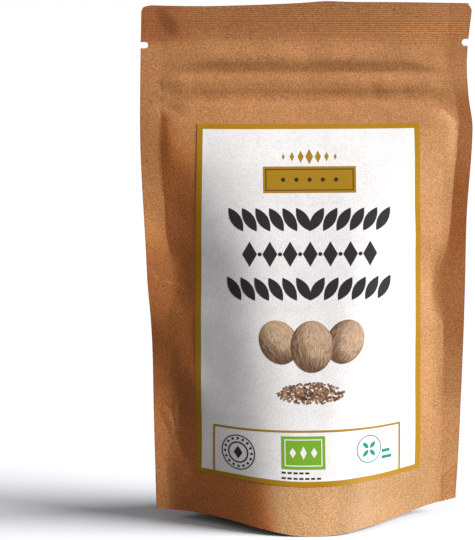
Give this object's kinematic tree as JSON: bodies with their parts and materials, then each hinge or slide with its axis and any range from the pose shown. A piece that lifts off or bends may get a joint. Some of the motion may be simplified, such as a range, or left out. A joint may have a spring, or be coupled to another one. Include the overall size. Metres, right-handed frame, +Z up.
{
  "type": "stand-up pouch",
  "caption": "Filled kraft paper stand-up pouch, heat sealed and shut, with a press-to-close ridge, tear notches, a rounded gusset foot and a plain bordered label.",
  "frame": {"origin": "on the floor, under the middle of the pouch's box", "axes": "+Z up along the pouch's height, -Y out of the labelled front, +X to the right as seen from the front"},
  "size_m": [0.1318, 0.0552, 0.205],
  "materials": {
    "kraft_film": "satin brown kraft paper, fine fibres and specks",
    "label_paper": null
  },
  "bodies": {
    "root": {"pouch": "kraft_film", "label": "label_paper"}
  },
  "joints": []
}
